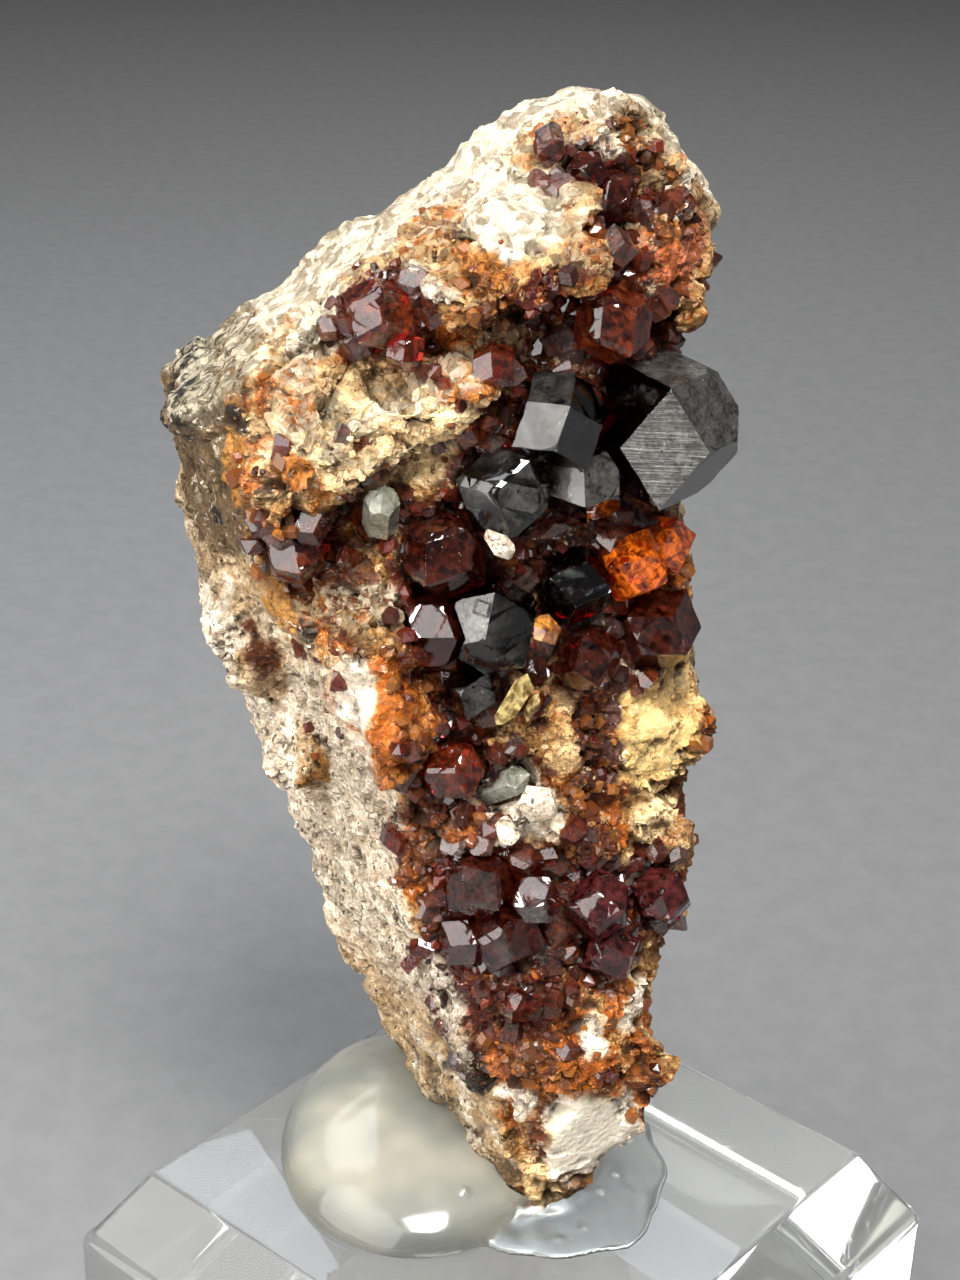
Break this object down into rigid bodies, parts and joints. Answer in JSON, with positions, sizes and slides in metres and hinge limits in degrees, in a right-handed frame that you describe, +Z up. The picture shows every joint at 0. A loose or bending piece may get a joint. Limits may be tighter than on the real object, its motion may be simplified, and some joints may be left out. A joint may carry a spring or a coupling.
{
  "type": "garnet in matrix",
  "caption": "Dark red garnet crystals on a tall, tapering slab of pale feldspar rock that stands on its point in a drop of clear glue on a bevelled clear block.",
  "frame": {"origin": "centre of the clear block's underside", "axes": "+Z up through the specimen, X and Y parallel to the block's sides; the best face of the stone looks out over the corner between +X and -Y"},
  "size_m": [0.0399, 0.038, 0.0841],
  "materials": {
    "clear acrylic": "polished clear acrylic",
    "clear glue": "smooth milky clear glue",
    "matrix stone": "rough broken feldspar with rust-brown stains",
    "garnet": "glossy crystal faces",
    "smoky quartz": "glossy crystal faces"
  },
  "bodies": {
    "root": {"acrylic_block": "clear acrylic", "mounting_glue": "clear glue", "matrix_stone": "matrix stone", "garnet_large": "garnet", "garnet_group_centre": "garnet", "garnet_left_upper": "garnet", "garnet_left_lower": "garnet", "garnet_etched": "garnet", "garnet_dark_cleft": "garnet", "garnet_cleft_foot": "garnet", "garnet_orange": "garnet", "garnet_right_dark": "garnet", "garnet_behind": "garnet", "garnet_red_drop": "garnet", "garnet_right_edge": "garnet", "garnet_purple_lower": "garnet", "garnet_foot_cluster": "garnet", "garnet_top_pair": "garnet", "garnet_upper_left": "garnet", "garnet_left_hollow": "garnet", "quartz_left": "smoky quartz", "quartz_centre": "smoky quartz"}
  },
  "joints": []
}
